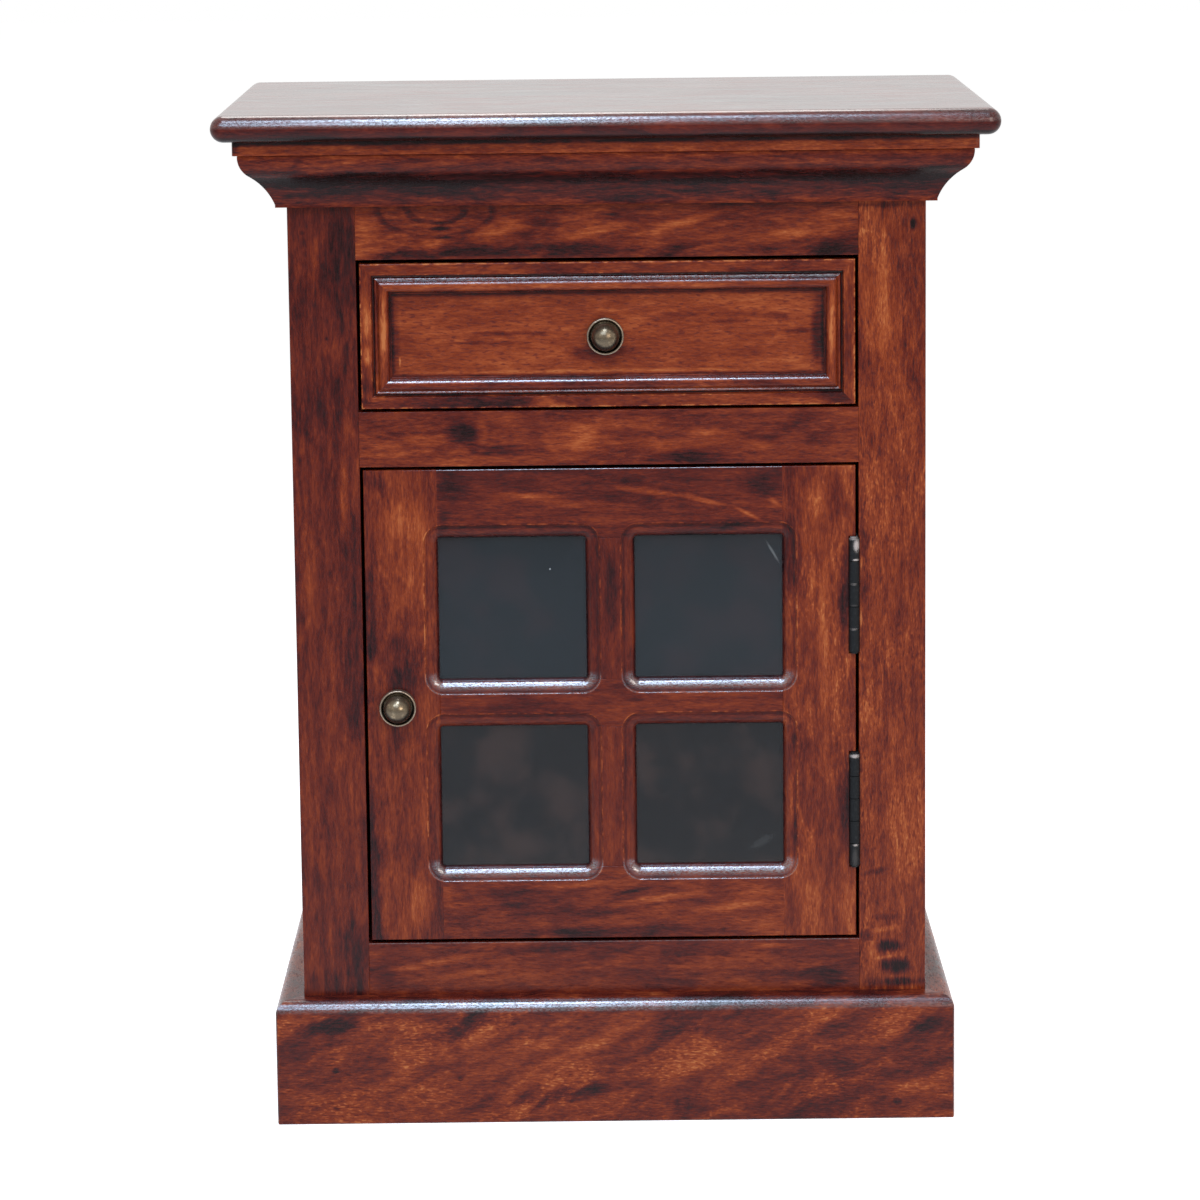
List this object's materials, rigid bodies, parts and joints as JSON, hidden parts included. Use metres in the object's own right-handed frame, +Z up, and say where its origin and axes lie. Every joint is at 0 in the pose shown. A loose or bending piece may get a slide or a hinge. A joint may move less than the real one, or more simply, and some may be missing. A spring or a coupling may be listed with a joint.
{
  "type": "bedside pot cupboard",
  "caption": "Bedside cupboard in dark stained wood with an inset drawer over a glazed door, a deep moulded cornice under an overhanging top, and a plain rounded plinth.",
  "frame": {"origin": "on the floor, under the middle of the top board", "axes": "+X to the viewer's right when facing the door, +Y from the front to the back, +Z up"},
  "size_m": [0.5, 0.35, 0.665],
  "materials": {
    "chestnut_wood": "chestnut stain under gloss lacquer",
    "inside_wood": "plain sawn and sanded",
    "plywood": "thin plywood, unfinished",
    "antique_brass": "darkened, worn bright on the edges",
    "black_iron": "black, satin",
    "steel": "plated",
    "pane_glass": "clear float glass",
    "catch_plastic": "moulded"
  },
  "bodies": {
    "carcass": {"top_board": "chestnut_wood", "sub_top": "chestnut_wood", "carcass_screws": "steel", "cornice_front": "chestnut_wood", "cornice_left": "chestnut_wood", "cornice_right": "chestnut_wood", "frame_stile_left": "chestnut_wood", "frame_stile_right": "chestnut_wood", "frame_rail_top": "chestnut_wood", "frame_rail_middle": "chestnut_wood", "frame_rail_bottom": "chestnut_wood", "plinth_front": "chestnut_wood", "plinth_left": "chestnut_wood", "plinth_right": "chestnut_wood", "side_panel_left": "chestnut_wood", "side_panel_right": "chestnut_wood", "back_panel": "plywood", "back_panel_pins": "steel", "cabinet_floor": "inside_wood", "drawer_divider": "inside_wood", "base_rail_back": "inside_wood", "top_rail_back": "inside_wood", "drawer_runner_left": "inside_wood", "drawer_runner_right": "inside_wood", "drawer_kickers": "inside_wood", "drawer_stops": "inside_wood", "hinge_frame_leaves": "black_iron", "hinge_pins": "black_iron", "hinge_frame_screws": "black_iron", "door_catch": "catch_plastic"},
    "drawer": {"drawer_front": "chestnut_wood", "drawer_moulding_top": "chestnut_wood", "drawer_moulding_bottom": "chestnut_wood", "drawer_moulding_left": "chestnut_wood", "drawer_moulding_right": "chestnut_wood", "drawer_side_left": "inside_wood", "drawer_side_right": "inside_wood", "drawer_back": "inside_wood", "drawer_bottom": "plywood", "drawer_knob": "antique_brass", "drawer_knob_rose": "antique_brass", "drawer_knob_bolt": "steel"},
    "door": {"door_stile_left": "chestnut_wood", "door_stile_right": "chestnut_wood", "door_rail_top": "chestnut_wood", "door_rail_middle": "chestnut_wood", "door_rail_bottom": "chestnut_wood", "door_muntin_upper": "chestnut_wood", "door_muntin_lower": "chestnut_wood", "glass_upper_left": "pane_glass", "glass_upper_right": "pane_glass", "glass_lower_left": "pane_glass", "glass_lower_right": "pane_glass", "glazing_beads": "chestnut_wood", "door_knob": "antique_brass", "door_knob_rose": "antique_brass", "door_knob_bolt": "steel", "hinge_door_leaves": "black_iron", "door_screws": "black_iron", "door_catch_plate": "steel"}
  },
  "joints": [
    {"name": "drawer_slide", "type": "slide", "parent": "carcass", "child": "drawer", "axis": [0, -1, 0], "range_m": [0, 0.24]},
    {"name": "door_hinge", "type": "hinge", "parent": "carcass", "child": "door", "pos_m": [0.1585, -0.131, 0.27625], "axis": [0, 0, 1], "range_deg": [0, 170]}
  ]
}
